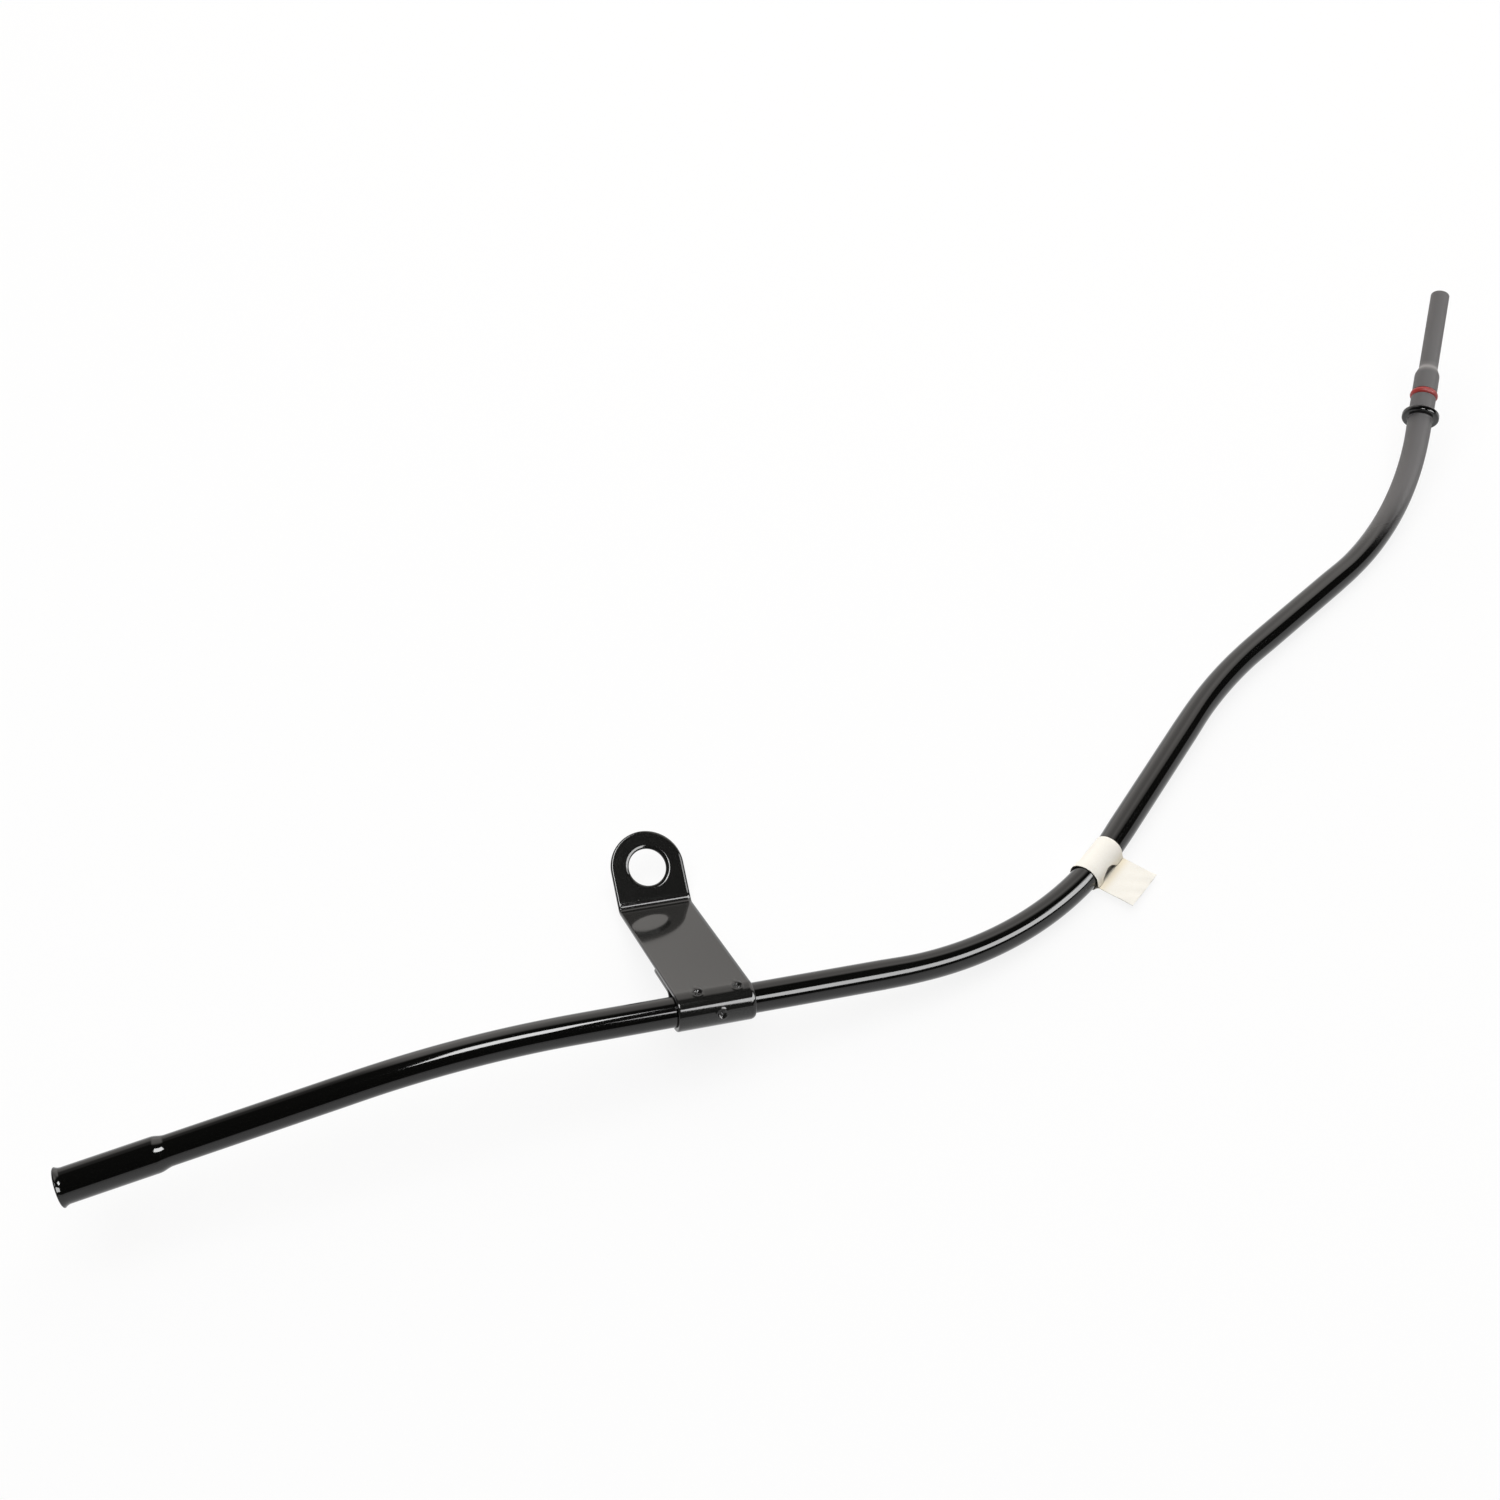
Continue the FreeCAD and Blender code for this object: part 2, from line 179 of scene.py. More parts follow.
# %% Outline of the wall
TUBE_R = 4.75
WALL = 0.9
BELL_R = 5.5
BELL_END = 28.6
BELL_TAPER = 4.2
FLARE_RIM_R = 6.25
FLARE_R = 3.0
PILOT_R = 3.6
PILOT_WALL = 0.8
PILOT_LENGTH = 35.4
NECK_LENGTH = 4.4
TIP_BACK = 0.09
RING_FROM_TIP = 48.5
GROOVE_DEPTH = 1.67
GROOVE_WIDTH = 2.7
BEAD_FROM_TIP = 58.45
BEAD_R = 7.1
BEAD_WIDTH = 2.6
BEAD_EDGE_R = 0.8


def soft_corners(points, reach, steps=7):
    """Polyline with each inner corner replaced by a parabola that starts and ends at its reach."""
    back = points[:-2] - points[1:-1]
    ahead = points[2:] - points[1:-1]
    back_length = np.linalg.norm(back, axis=1)
    ahead_length = np.linalg.norm(ahead, axis=1)
    cut = np.minimum(reach, 0.49 * np.minimum(back_length, ahead_length))
    start = points[1:-1] + back * (cut / back_length)[:, None]
    end = points[1:-1] + ahead * (cut / ahead_length)[:, None]
    t = np.linspace(0, 1, steps)[None, :, None]
    middle = points[1:-1][:, None]
    curve = (1 - t) ** 2 * start[:, None] + 2 * t * (1 - t) * middle + t ** 2 * end[:, None]
    return np.vstack([points[:1], curve.reshape(-1, points.shape[1]), points[-1:]])


def s_step(start, end, steps=15):
    """Smooth step between two (distance, radius) points: radius follows a half cosine wave."""
    t = np.linspace(0, 1, steps)
    rise = (1 - np.cos(np.pi * t)) / 2
    return np.stack([start[0] + (end[0] - start[0]) * t, start[1] + (end[1] - start[1]) * rise], axis=1)


def from_tip(distance, radius):
    """Outline point at a distance back from the tip."""
    return [TUBE_LENGTH - distance, radius]


lean = np.arccos((BELL_R + FLARE_R - FLARE_RIM_R) / FLARE_R)
flare_depth = (FLARE_R + WALL) * np.sin(lean)
LIP_ROUND = 0.32
flare_turn = np.linspace(lean - LIP_ROUND / (FLARE_R + WALL / 2), 0, 12)[:, None]
flare_ray = np.hstack([-np.sin(flare_turn), -np.cos(flare_turn)])
flare_centre = np.array([flare_depth, BELL_R + FLARE_R])
flare_outside = flare_centre + FLARE_R * flare_ray
flare_inside = flare_centre + (FLARE_R + WALL) * flare_ray
print("flare leans", round(np.degrees(lean), 1), "degrees over", round(flare_depth, 2), "mm")

# %% Outside and inside of the wall
groove_near = RING_FROM_TIP + GROOVE_WIDTH / 2
groove_far = RING_FROM_TIP - GROOVE_WIDTH / 2
bead_near = BEAD_FROM_TIP + BEAD_WIDTH / 2
bead_far = BEAD_FROM_TIP - BEAD_WIDTH / 2
bead_turn = np.concatenate([np.linspace(np.pi, np.pi / 2, 8), np.linspace(np.pi / 2, 0, 8)])[:, None]
bead_flat = np.repeat([-1, 1], 8)[:, None] * [BEAD_WIDTH / 2 - BEAD_EDGE_R, 0]
bead_crown = np.hstack([np.cos(bead_turn), np.sin(bead_turn)]) * BEAD_EDGE_R + bead_flat
bead_crown += from_tip(BEAD_FROM_TIP, BEAD_R - BEAD_EDGE_R)
bead_foot = np.array([from_tip(bead_near + 6, TUBE_R), from_tip(bead_near, TUBE_R), bead_crown[0]])
land = np.array([
    bead_crown[-1],
    from_tip(bead_far, TUBE_R),
    from_tip(groove_near, TUBE_R),
    from_tip(groove_near, TUBE_R - GROOVE_DEPTH),
    from_tip(groove_far, TUBE_R - GROOVE_DEPTH),
    from_tip(groove_far, TUBE_R),
    from_tip(PILOT_LENGTH + NECK_LENGTH, TUBE_R),
])
neck = s_step(land[-1], from_tip(PILOT_LENGTH, PILOT_R))
tip = np.array([
    neck[-1],
    from_tip(TIP_BACK, PILOT_R),
    from_tip(TIP_BACK, PILOT_R - PILOT_WALL),
    from_tip(PILOT_LENGTH, PILOT_R - PILOT_WALL),
    from_tip(PILOT_LENGTH + NECK_LENGTH, TUBE_R - WALL),
    from_tip(RING_FROM_TIP - 3, TUBE_R - WALL),
    from_tip(RING_FROM_TIP - 2, TUBE_R - WALL - GROOVE_DEPTH),
    from_tip(RING_FROM_TIP + 2, TUBE_R - WALL - GROOVE_DEPTH),
    from_tip(RING_FROM_TIP + 3, TUBE_R - WALL),
    [BELL_END + BELL_TAPER, TUBE_R - WALL],
])
rim = np.vstack([flare_inside[:1], flare_outside[:1]])
rim_middle = rim.mean(axis=0)
rim_turn = np.linspace(0, np.pi, 13)[:, None]
rim_half = (rim[0] - rim[1]) / 2
rim_bulge = np.array([[-np.cos(lean), np.sin(lean)]]) * LIP_ROUND
rim_round = rim_middle + np.cos(rim_turn) * rim_half + np.sin(rim_turn) * rim_bulge
outline = np.vstack([
    rim_round,
    flare_outside[1:],
    s_step([BELL_END, BELL_R], [BELL_END + BELL_TAPER, TUBE_R]),
    soft_corners(bead_foot, 0.5)[1:],
    bead_crown[1:-1],
    soft_corners(land, np.array([0.4, 0.18, 0.12, 0.12, 0.18]))[:-1],
    neck,
    soft_corners(tip, np.array([0.6, 0.2, 1.0, 1.0, 0.5, 0.5, 0.5, 0.5]))[1:],
    s_step([BELL_END + BELL_TAPER, TUBE_R - WALL], [BELL_END, BELL_R - WALL])[1:],
    flare_inside[:0:-1],
])
print("outline has", len(outline), "points")

# %% Carry the outline along the tube
AROUND = 72
STATION_STEP = 1.6
FLATTENING = 6.5


def divided(points, step):
    """Closed polyline of (distance, radius) with its long sides divided into steps along the tube."""
    after = np.roll(points, -1, axis=0)
    counts = np.maximum(1, np.ceil(np.abs(after - points)[:, 0] / step)).astype(int)
    side = np.repeat(np.arange(len(points)), counts)
    part = np.arange(counts.sum()) - np.repeat(np.cumsum(counts) - counts, counts)
    share = (part / counts[side])[:, None]
    return points[side] * (1 - share) + after[side] * share


def bend_bow(distance, spread=14.0):
    """Inward bend vector, averaged over a spread, because the flattening fades in and out."""
    fine = np.arange(0.0, TUBE_LENGTH, 0.5)
    window = np.ones(int(spread / 0.5))
    bow = centreline(fine)[3]
    soft = [np.convolve(bow[:, i], window / window.size, mode="same") for i in range(3)]
    return np.stack([np.interp(distance, fine, column) for column in soft], axis=1)


def tube_surface(stations, around):
    """Point = centreline + radius (cos a left + sin a up), less a share of its part in the bend's plane."""
    point, left, up, _ = centreline(stations[:, 0])
    angle = np.linspace(0, 2 * np.pi, around, endpoint=False)[None, :, None]
    spoke = stations[:, 1, None, None] * (np.cos(angle) * left[:, None] + np.sin(angle) * up[:, None])
    bow = bend_bow(stations[:, 0])
    strength = np.linalg.norm(bow, axis=1) + 1e-9
    inward = (bow / strength[:, None])[:, None]
    across = np.sum(spoke * inward, axis=2, keepdims=True) * inward
    squeeze = FLATTENING * strength[:, None, None]
    return point[:, None] + spoke - squeeze * across


stations = divided(outline, STATION_STEP)
tube_points = tube_surface(stations, AROUND)
tube_faces = grid_faces(len(stations), AROUND, closed_rows=True, closed_columns=True)
tube_skin = add_piece("tube_skin", tube_points.reshape(-1, 3), tube_faces, "tube")

# %% [markdown]
# The coat is satin near the block end and glossy elsewhere, and its colour is greyed there: partly a
# thinner coat, partly a painted sheen for the backdrop that the end mirrors. A number kept at each vertex
# says how satin it is, so that the change follows the tube round its bend, which a pattern in space
# could not do. A pale ring round the neck is a painted highlight.

# %% Where the finish is satin, with a painted sheen and a painted highlight
SATIN_AND_SHEEN_FULL_TO = 86.0
SATIN_AND_SHEEN_NONE_FROM = 134.0
SATIN_AND_SHEEN_SLANT = 10.0
# Painted highlight: place and width of a pale ring round the neck.
NECK_HIGHLIGHT_AT = 1.4
NECK_HIGHLIGHT_WIDTH = 1.2


def ease(value, low, high):
    """Smooth step from 0 at low to 1 at high: 3 t^2 - 2 t^3."""
    t = np.clip((value - low) / (high - low), 0, 1)
    return t * t * (3 - 2 * t)


def store(piece, name, values):
    """Keep one number per vertex on a piece, for its material to read."""
    attribute = piece.data.attributes.new(name, "FLOAT", "POINT")
    attribute.data.foreach_set("value", values.astype(np.float32))


from_end = np.repeat(TUBE_LENGTH - stations[:, 0], AROUND)
radius = np.repeat(stations[:, 1], AROUND)
spokes = tube_points - centreline(stations[:, 0])[0][:, None]
# The satin share also greys the coat as a painted sheen. It slants toward the upper left, so the sheen ends
# in a wedge, as a mirrored dark band does.
upper_left = np.array([-0.70, 0.30, 0.65])
slant = SATIN_AND_SHEEN_SLANT * (spokes @ upper_left).ravel() / TUBE_R
satin_and_sheen = 1 - ease(from_end - slant, SATIN_AND_SHEEN_FULL_TO, SATIN_AND_SHEEN_NONE_FROM)
on_bead = ease(radius, TUBE_R + 0.05, TUBE_R + 0.4) * (np.abs(from_end - BEAD_FROM_TIP) < 3)
store(tube_skin, "satin_and_sheen", satin_and_sheen * (1 - on_bead))
# Painted highlight: a pale ring round the neck, where a lamp is mirrored.
store(tube_skin, "neck_highlight", np.exp(-((from_end - PILOT_LENGTH - NECK_HIGHLIGHT_AT) / NECK_HIGHLIGHT_WIDTH) ** 2))
print("satin on", int((satin_and_sheen > 0.5).sum()), "of", len(satin_and_sheen), "points,",
      len(tube_skin.data.vertices), "vertices")

# %% [markdown]
# ## The bracket
# The real bracket is a flat blank, sheared and punched, then folded round the tube by a press. It is
# built the same way here: the blank is laid out flat with its hole and rolled edges, and one function
# folds it. Its side view is a chain of straights and arcs, as in a bend drawing: the tail tucked under
# the web, the wrap round the tube, the web, the fold and the eye.

# %% Side view of the strip
STRIP_WIDTH = 24.7
STRIP_THICK = 1.5
CLASP_FROM_BEND = 111.5
CLASP_GAP = 0.05
WEB_SLOPE = np.radians(-22.9)
WEB_LENGTH = 62.1
FOLD_TURN = np.radians(53.5)
FOLD_R = 1.5
EYE_REACH = 13.3
EYE_HOLE_R = 6.75
TAIL_LENGTH = 14.0
TAIL_BEND_R = 1.0

half_width = STRIP_WIDTH / 2
half_thick = STRIP_THICK / 2
wrap_r = TUBE_R + CLASP_GAP + half_thick
tail_r = TAIL_BEND_R + half_thick
tail_leave = np.arcsin((TUBE_R - STRIP_THICK - TAIL_BEND_R) / (wrap_r + tail_r))
fold_r = FOLD_R + half_thick
fold_cut = FOLD_R * np.tan(FOLD_TURN / 2)
tail_turn = np.pi / 2 + tail_leave
strip_turns = np.array([0, tail_turn, -np.pi - tail_turn, 0, FOLD_TURN, 0])
strip_curves = np.array([0, 1 / tail_r, -1 / wrap_r, 0, 1 / fold_r, 0])
strip_lengths = np.array([TAIL_LENGTH, 0, 0, WEB_LENGTH - fold_cut, 0, EYE_REACH - fold_cut + half_width])
strip_lengths[[1, 2, 4]] = strip_turns[[1, 2, 4]] / strip_curves[[1, 2, 4]]
strip_starts = np.cumsum(strip_lengths) - strip_lengths
strip_headings = np.pi + np.cumsum(strip_turns) - strip_turns


def chain(length, start, heading, curve):
    """Point of an arc as a complex number: start + e^(i heading) (e^(i curve length) - 1) / (i curve)."""
    safe = np.where(curve == 0, 1, curve)
    arc = (np.exp(1j * safe * length) - 1) / (1j * safe)
    return start + np.exp(1j * heading) * np.where(curve == 0, length, arc)


tail_end = (wrap_r + tail_r) * np.cos(tail_leave) + TAIL_LENGTH + 1j * (TUBE_R - half_thick)
hops = chain(strip_lengths, 0, strip_headings, strip_curves)
strip_points = tail_end + np.cumsum(hops) - hops
print("strip is", round(strip_lengths.sum(), 1), "mm flat; web starts at", np.round(strip_points[3], 3))

# %% Fold the blank
clasp_centre = corners[2] - runs[1] * CLASP_FROM_BEND
clasp_left, clasp_up = square_to(runs[1])
web_way = clasp_left * np.cos(WEB_SLOPE) + clasp_up * np.sin(WEB_SLOPE)
web_up = clasp_up * np.cos(WEB_SLOPE) - clasp_left * np.sin(WEB_SLOPE)


def folded(blank):
    """Blank of (along, across, height over the mid-layer) folded: side view + height square to it."""
    along, across, height = blank[..., 0], blank[..., 1], blank[..., 2]
    piece = np.clip(np.searchsorted(strip_starts, along, side="right") - 1, 0, 5)
    travel = along - strip_starts[piece]
    side = chain(travel, strip_points[piece], strip_headings[piece], strip_curves[piece])
    side = side + 1j * height * np.exp(1j * (strip_headings[piece] + travel * strip_curves[piece]))
    plane = side.real[..., None] * web_way + side.imag[..., None] * web_up
    return clasp_centre + plane + across[..., None] * runs[1]


fold_probe = folded(np.array([[strip_starts[4], 0.0, 0.0]]))
print("fold starts at", fold_probe.round(2).tolist())

# %% Flat blank: strip rows, and an eye of rays from the hole to the outline
COLUMNS = 121
SIDE_STEPS = 24
EDGE_R = 0.5
RIM_CLOSE = 0.45
hole_at = strip_starts[5] + EYE_REACH - fold_cut
inset = half_width - EDGE_R
eye_at = hole_at - inset
row_counts = [10, 12, 130, 40, 24]
rows = [np.linspace(strip_starts[i], strip_starts[i] + strip_lengths[i], n, endpoint=False)
        for i, n in enumerate(row_counts)]
rows = np.concatenate(rows + [np.linspace(strip_starts[5], eye_at, 8)])
rows[0] = EDGE_R
columns = np.linspace(-inset, inset, COLUMNS)
strip_flat = np.stack(np.meshgrid(rows, columns, indexing="ij"), axis=-1)

side_rise = np.linspace(eye_at, hole_at, SIDE_STEPS + 1)
crown_turn = np.linspace(np.pi / 2, -np.pi / 2, 91)
eye_bottom = np.stack([np.full(COLUMNS - 1, eye_at), columns[:-1]], axis=1)
eye_right = np.stack([side_rise[:-1], np.full(SIDE_STEPS, inset)], axis=1)
eye_crown = np.stack([hole_at + inset * np.cos(crown_turn), inset * np.sin(crown_turn)], axis=1)[:-1]
eye_left = np.stack([side_rise[:0:-1], np.full(SIDE_STEPS, -inset)], axis=1)
eye_outline = np.vstack([eye_bottom, eye_right, eye_crown, eye_left])
ray = eye_outline - [hole_at, 0]
ray /= np.linalg.norm(ray, axis=1, keepdims=True)
hole_ring = [hole_at, 0] + ray * (EYE_HOLE_R + EDGE_R - RIM_CLOSE)
share = np.linspace(0, 1, 41)[:, None, None]
eye_flat = hole_ring * (1 - share) + eye_outline * share
print("blank grids", strip_flat.shape, eye_flat.shape)

# %% [markdown]
# Three punch marks lock the strip to the tube. Each is a shallow crater with a pushed-up lip and a
# torn floor. They could be cut with a boolean, but that breaks the clean grid, so the upper face of
# the blank is simply lowered there before it is folded. The low ridge above the fold and the drooped
# cut edges, which catch the light as thin lines, are made in the same way.

# %% Punch marks and rolled edges
STAKES = np.array([[103.0, 1.2 - 6.3], [103.0, 1.2 + 6.3], [183.0, 1.2]])
STAKE_R = 1.5
STAKE_DEPTH = 0.8
STAKE_TEAR = 0.3
STAKE_LIP = 0.1
RIDGE_RISE = 0.125
RIDGE_FROM_FOLD = 0.85
RIDGE_WIDTH = 0.6
ROLL_SLOPE = np.tan(np.radians(16.3))
ROLL_WIDTH = 1.1
ROLL_SOFT = 0.05


def stake_marks(along, across):
    """Depth of the craters: a round bowl to the rim, torn by two waves, and a lip that dies away."""
    depth = np.zeros_like(along)
    for number, (angle, shift) in enumerate(STAKES):
        centre = strip_starts[3] - np.radians(angle - 90) * wrap_r
        du = (along - centre) * (wrap_r + half_thick) / wrap_r
        dv = across - shift
        reach = np.hypot(du, dv) / STAKE_R
        torn = STAKE_TEAR * np.sin(4.1 * du + 1.7 * number) * np.sin(3.7 * dv + 2.3 * number)
        bowl = np.clip(1 - reach ** 4, 0, None) * (STAKE_DEPTH + torn)
        lip = STAKE_LIP * np.exp(-((reach - 1.2) / 0.16) ** 2)
        depth += bowl - lip
    return depth


def fold_ridge(along):
    """Low ridge that the press leaves just above the fold: a bell curve over the length."""
    return RIDGE_RISE * np.exp(-((along - strip_starts[5] - RIDGE_FROM_FOLD) / RIDGE_WIDTH) ** 2)


def die_roll(flat):
    """Droop of the upper face beside the hole and the right edge: a soft-cornered bevel.

    A slit strip is sheared from above on one side and from below on the other, so its left stays flat.
    """
    from_hole = np.hypot(flat[..., 0] - hole_at, flat[..., 1])
    side = half_width - np.where(flat[..., 0] > hole_at, from_hole, np.abs(flat[..., 1]))
    distance = np.stack([side, np.abs(from_hole - EYE_HOLE_R + RIM_CLOSE)])
    bevel = ROLL_SLOPE * ROLL_SOFT * np.log1p(np.exp((ROLL_WIDTH - distance) / ROLL_SOFT))
    return bevel[0] * ease(flat[..., 1], -2.0, 4.0) + bevel[1]


def raised(flat, height):
    """Flat points given one height, or an array of heights, with the droop on the upper half."""
    height = np.broadcast_to(height, flat.shape[:-1])
    height = height - (die_roll(flat) - fold_ridge(flat[..., 0])) * np.clip(height / half_thick, 0, 1)
    return np.concatenate([flat, height[..., None]], axis=-1)


def rolled_edge(path, outward):
    """Edge of the blank: a quarter round, the cut side and a quarter round, carried along a path."""
    quarter = np.linspace(0, np.pi / 2, 6)
    reach = np.concatenate([np.sin(quarter), np.cos(quarter)]) * EDGE_R
    height = np.concatenate([np.cos(quarter) - 1, 1 - np.sin(quarter)]) * EDGE_R
    height += np.repeat([half_thick, -half_thick], 6)
    spread = path[None] + reach[:, None, None] * outward[None]
    return raised(spread, height[:, None])


left_side = np.stack([rows, np.full(len(rows), -inset)], axis=1)
right_side = np.stack([rows[::-1], np.full(len(rows), inset)], axis=1)
tail_side = np.stack([np.full(COLUMNS, EDGE_R), columns[::-1]], axis=1)
eye_side = np.vstack([eye_left[::-1], eye_crown[::-1], eye_right[::-1]])
around = np.vstack([left_side, eye_side, right_side[1:], tail_side[1:-1]])
eye_out = eye_side - [hole_at, 0]
eye_out /= np.linalg.norm(eye_out, axis=1, keepdims=True)
eye_out = np.where(eye_side[:, :1] < hole_at, np.sign(eye_side[:, 1:]) * [0, 1], eye_out)
outward = np.vstack([
    np.tile([0, -1.0], (len(rows), 1)),
    eye_out,
    np.tile([0, 1.0], (len(rows) - 1, 1)),
    np.tile([-1.0, 0], (COLUMNS - 2, 1)),
])
outward[0] = [-1, -1]
outward[len(rows) + len(eye_side) + len(rows) - 2] = [-1, 1]
print("edge path has", len(around), "points")

# %% Assemble and fold
upper = half_thick - stake_marks(strip_flat[..., 0], strip_flat[..., 1])
blank_grids = [
    (raised(strip_flat, upper), False),
    (raised(strip_flat, -half_thick), False),
    (raised(eye_flat, half_thick), True),
    (raised(eye_flat, -half_thick), True),
    (rolled_edge(around, outward), True),
    (rolled_edge(hole_ring, -ray), True),
]
bracket_points = []
bracket_faces = []
count = 0
for grid, closed in blank_grids:
    bracket_points.append(folded(grid).reshape(-1, 3))
    bracket_faces.append(grid_faces(*grid.shape[:2], closed_columns=closed, first=count))
    count += grid.shape[0] * grid.shape[1]
bracket_skin = add_piece("bracket_skin", np.vstack(bracket_points), np.vstack(bracket_faces), "bracket")

# %% [markdown]
# ## The O-ring
# A moulded ring of red rubber sits in the rolled groove, squeezed a little flat by it. It is a torus,
# two angles on a grid, with the fine line that the two halves of a mould leave round its outside.

# %% Ring of rubber
RING_R = 1.1
RING_SQUASH = 1.2
MOULD_LINE = 0.03
ring_middle = TUBE_R - GROOVE_DEPTH + 0.02 + RING_R
ring_centre = corners[-1] - runs[-1] * RING_FROM_TIP
ring_left, ring_up = square_to(runs[-1])
ring_turn = np.linspace(0, 2 * np.pi, 120, endpoint=False)[:, None, None]
section_turn = np.linspace(-np.pi, np.pi, 40, endpoint=False)[None, :, None]
mould_line = MOULD_LINE * np.exp(-(section_turn / 0.12) ** 2)
spoke = np.cos(ring_turn) * ring_left + np.sin(ring_turn) * ring_up
ring_points = ring_centre + spoke * (ring_middle + (RING_R + mould_line) * np.cos(section_turn))
ring_points = ring_points + runs[-1] * RING_SQUASH * RING_R * np.sin(section_turn)
ring_faces = grid_faces(120, 40, closed_rows=True, closed_columns=True)
seal_ring = add_piece("seal_ring", ring_points.reshape(-1, 3), ring_faces, "o_ring")

# %% [markdown]
# ## The paper tag
# A strip of white paper is rolled round the main bend. One end stays long as a flag, and the other is
# stuck down on the flag's root, where part of its edge has sprung open. Paper only bends one way at a
# time, so the piece is a side view carried straight along the tag's width. The rolled-in strip is a
# little loose at its lower end, and slow waves lift the flag, as on handled paper.

# %% Side view of the paper
TAG_WIDTH = 15.9
TAG_FROM_BEND_END = 2.75
TAG_PAPER = 0.15
TAG_FIT = 0.02
TAG_REACH = 18.0
TAG_LEAVE = np.radians(21.0)
TAG_OVERLAP = 0.25
FLAG_LIFT = 0.2
FLANK_REACH = 2.5

tag_sag = TAG_WIDTH ** 2 / (8 * BEND_RADII[1])
half_paper = TAG_PAPER / 2
roll_r = TUBE_R + TAG_FIT + tag_sag / 2 + half_paper
root_x = (roll_r - half_paper * np.sin(TAG_LEAVE)) / np.cos(TAG_LEAVE)
flank = np.array([
    [root_x + FLANK_REACH, -half_paper],
    [root_x, -half_paper],
    [roll_r * np.cos(TAG_LEAVE), -roll_r * np.sin(TAG_LEAVE)],
])
lower_flank = soft_corners(flank, 1.2)
upper_flank = lower_flank[::-1] * [1, -1] + [0, half_paper * 0.2]
flag_line = np.stack([np.linspace(TAG_REACH, root_x + FLANK_REACH, 24), np.full(24, -half_paper)], axis=1)
roll_turn = -np.linspace(TAG_LEAVE, 2 * np.pi - TAG_LEAVE, 120)[:, None]
roll_line = roll_r * np.hstack([np.cos(roll_turn), np.sin(roll_turn)])
paper_line = np.vstack([flag_line[:-1], lower_flank[:-1], roll_line, upper_flank[1:]])
paper_step = np.linalg.norm(np.diff(paper_line, axis=0), axis=1)
paper_along = np.concatenate([[0.0], np.cumsum(paper_step)])
glued_end = paper_along[-1] - (FLANK_REACH - TAG_OVERLAP)
print("paper is", round(float(glued_end), 1), "mm long, roll", round(2 * float(roll_r), 2), "mm across")

# %% Carry it along the width
TAG_ROWS = 61
NOTCH_AT = -0.7
NOTCH_HALF = 4.3
NOTCH_DEPTH = 2.9

tag_middle = stretch_ends[3] - TAG_FROM_BEND_END - TAG_WIDTH / 2
tag_point, _, _, tag_bow = [row[0] for row in centreline(np.array([tag_middle]))]
tag_outward = -tag_bow * BEND_RADII[1]
tag_along = np.cross(bend_axes[1], tag_outward)
tag_origin = tag_point - tag_outward * tag_sag / 2


def paper_end(across):
    """Length of the strip at each place across: short by a smooth notch where the edge sprang open."""
    notch = np.clip(1 - ((across - NOTCH_AT) / NOTCH_HALF) ** 2, 0, None)
    return glued_end - NOTCH_DEPTH * notch


def paper_surface(share, across, side):
    """Side view along the width, with a side's half thickness, a loose lower end and the flag's waves."""
    along = share[None, :] * paper_end(across)[:, None]
    x = np.interp(along, paper_along, paper_line[:, 0])
    y = np.interp(along, paper_along, paper_line[:, 1])
    way = np.gradient(x + 1j * y, axis=1)
    out = 1j * way / np.abs(way)
    x, y = x + side * half_paper * out.real, y + side * half_paper * out.imag
    w = across[:, None]
    freedom = np.clip((x - root_x) / (TAG_REACH - root_x), 0, 1)
    freedom = np.where(along < paper_along[30], freedom, 0)
    wave = 0.3 * freedom ** 2 * np.sin(0.35 * w + 0.25 * x) + 0.1 * freedom * np.sin(1.1 * w - 0.7 * x)
    wave = wave + FLAG_LIFT * (TAG_REACH - root_x) * freedom
    loose = np.clip(-w / TAG_WIDTH, 0, 1) ** 2 * 2.2
    x = np.where(x < 0, x * (1 + 0.16 * loose), x)
    lift = (y + wave)[..., None] * bend_axes[1]
    return tag_origin + x[..., None] * tag_outward + lift + w[..., None] * tag_along


tag_across = np.linspace(-TAG_WIDTH / 2, TAG_WIDTH / 2, TAG_ROWS)
tag_share = np.linspace(0, 1, 220)
tag_outer = paper_surface(tag_share, tag_across, 1)
tag_inner = paper_surface(tag_share, tag_across, -1)
tag_points = np.concatenate([tag_outer, tag_inner[:, ::-1]], axis=1)
loop_count = 2 * len(tag_share)
tag_faces = grid_faces(TAG_ROWS, loop_count, closed_columns=True)
rim_index = np.arange(loop_count // 2 - 1)
rim_across = loop_count - 1 - rim_index
rim_faces = np.stack([rim_index, rim_index + 1, rim_across - 1, rim_across], axis=1)
tag_faces = np.vstack([tag_faces, rim_faces, rim_faces[:, ::-1] + (TAG_ROWS - 1) * loop_count])
paper_wrap = add_piece("paper_wrap", tag_points.reshape(-1, 3), tag_faces, "paper_tag")
from_root = (tag_points.reshape(-1, 3) - tag_origin) @ tag_outward - root_x
# Painted shade: a cream tint that fades out from the flag's root.
store(paper_wrap, "root_shade", np.exp(-((from_root - 1.0) / 1.6) ** 2))
print("paste near the root,", len(from_root), "points,", len(paper_wrap.data.vertices), "vertices")

# %% [markdown]
# ## Finishes
# The colours are written as sRGB hex values, as a paint chart gives them, and one function turns them
# linear. One more adds a node with its settings and links. Patterns read object coordinates, which
# are metres, so a feature of a given size in millimetres has a scale of 1000 over that size.

